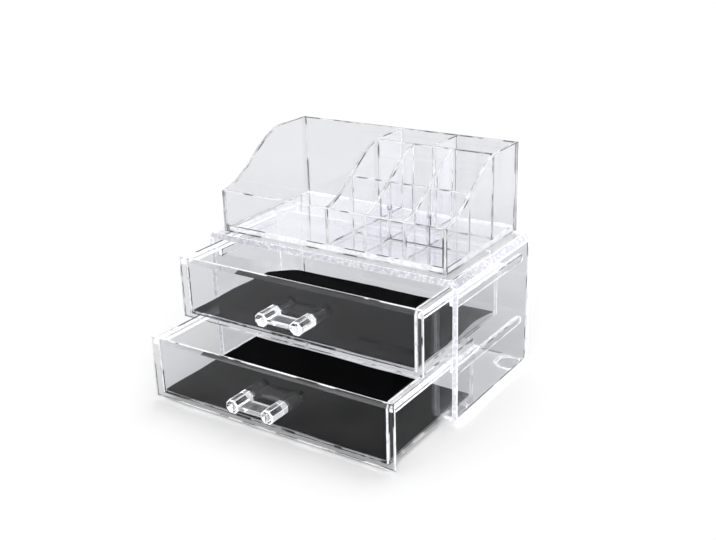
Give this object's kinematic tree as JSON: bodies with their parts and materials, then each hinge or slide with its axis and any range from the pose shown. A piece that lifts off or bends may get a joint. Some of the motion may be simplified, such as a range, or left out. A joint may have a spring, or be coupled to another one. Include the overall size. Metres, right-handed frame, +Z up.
{
  "type": "makeup organizer",
  "caption": "Clear tabletop case with two pull-out drawers, bow-tie handles and dark liners, and a lift-off tray of open compartments with swept sides.",
  "frame": {"origin": "on the ground, at the middle of the footprint with both drawers standing open as pictured", "axes": "+Z up, +X to the right as seen from the front, +Y from the drawer fronts towards the back"},
  "size_m": [0.238, 0.2294, 0.1939],
  "materials": {
    "clear_plastic": "polished, clear",
    "liner_cloth": "matt woven felt-like cloth"
  },
  "bodies": {
    "case": {"case_top": "clear_plastic", "case_back": "clear_plastic", "case_floor": "clear_plastic", "case_wall_left": "clear_plastic", "case_wall_right": "clear_plastic", "rail_lower_left": "clear_plastic", "rail_lower_right": "clear_plastic", "rail_upper_left": "clear_plastic", "rail_upper_right": "clear_plastic", "foot_front_left": "clear_plastic", "foot_front_right": "clear_plastic", "foot_rear_left": "clear_plastic", "foot_rear_right": "clear_plastic"},
    "drawer_lower": {"drawer_lower_front": "clear_plastic", "drawer_lower_floor": "clear_plastic", "drawer_lower_back": "clear_plastic", "drawer_lower_wall_left": "clear_plastic", "drawer_lower_wall_right": "clear_plastic", "drawer_lower_runner_left": "clear_plastic", "drawer_lower_runner_right": "clear_plastic", "drawer_lower_liner": "liner_cloth", "drawer_lower_handle": "clear_plastic"},
    "drawer_upper": {"drawer_upper_front": "clear_plastic", "drawer_upper_floor": "clear_plastic", "drawer_upper_back": "clear_plastic", "drawer_upper_wall_left": "clear_plastic", "drawer_upper_wall_right": "clear_plastic", "drawer_upper_runner_left": "clear_plastic", "drawer_upper_runner_right": "clear_plastic", "drawer_upper_liner": "liner_cloth", "drawer_upper_handle": "clear_plastic"},
    "tray": {"tray_floor": "clear_plastic", "tray_wall_front": "clear_plastic", "tray_wall_back": "clear_plastic", "tray_wall_left": "clear_plastic", "tray_wall_right": "clear_plastic", "tray_divider_main": "clear_plastic", "tray_divider_1": "clear_plastic", "tray_divider_2": "clear_plastic", "tray_cross_front": "clear_plastic", "tray_cross_rear": "clear_plastic", "tray_divider_rear": "clear_plastic"}
  },
  "joints": [
    {"name": "drawer_lower_slide", "type": "slide", "parent": "case", "child": "drawer_lower", "axis": [0, -1, 0], "range_m": [-0.083, 0.017]},
    {"name": "drawer_upper_slide", "type": "slide", "parent": "case", "child": "drawer_upper", "axis": [0, -1, 0], "range_m": [-0.043, 0.057]},
    {"name": "tray_lift", "type": "slide", "parent": "case", "child": "tray", "axis": [0, 0, 1], "range_m": [0, 0.1]}
  ]
}
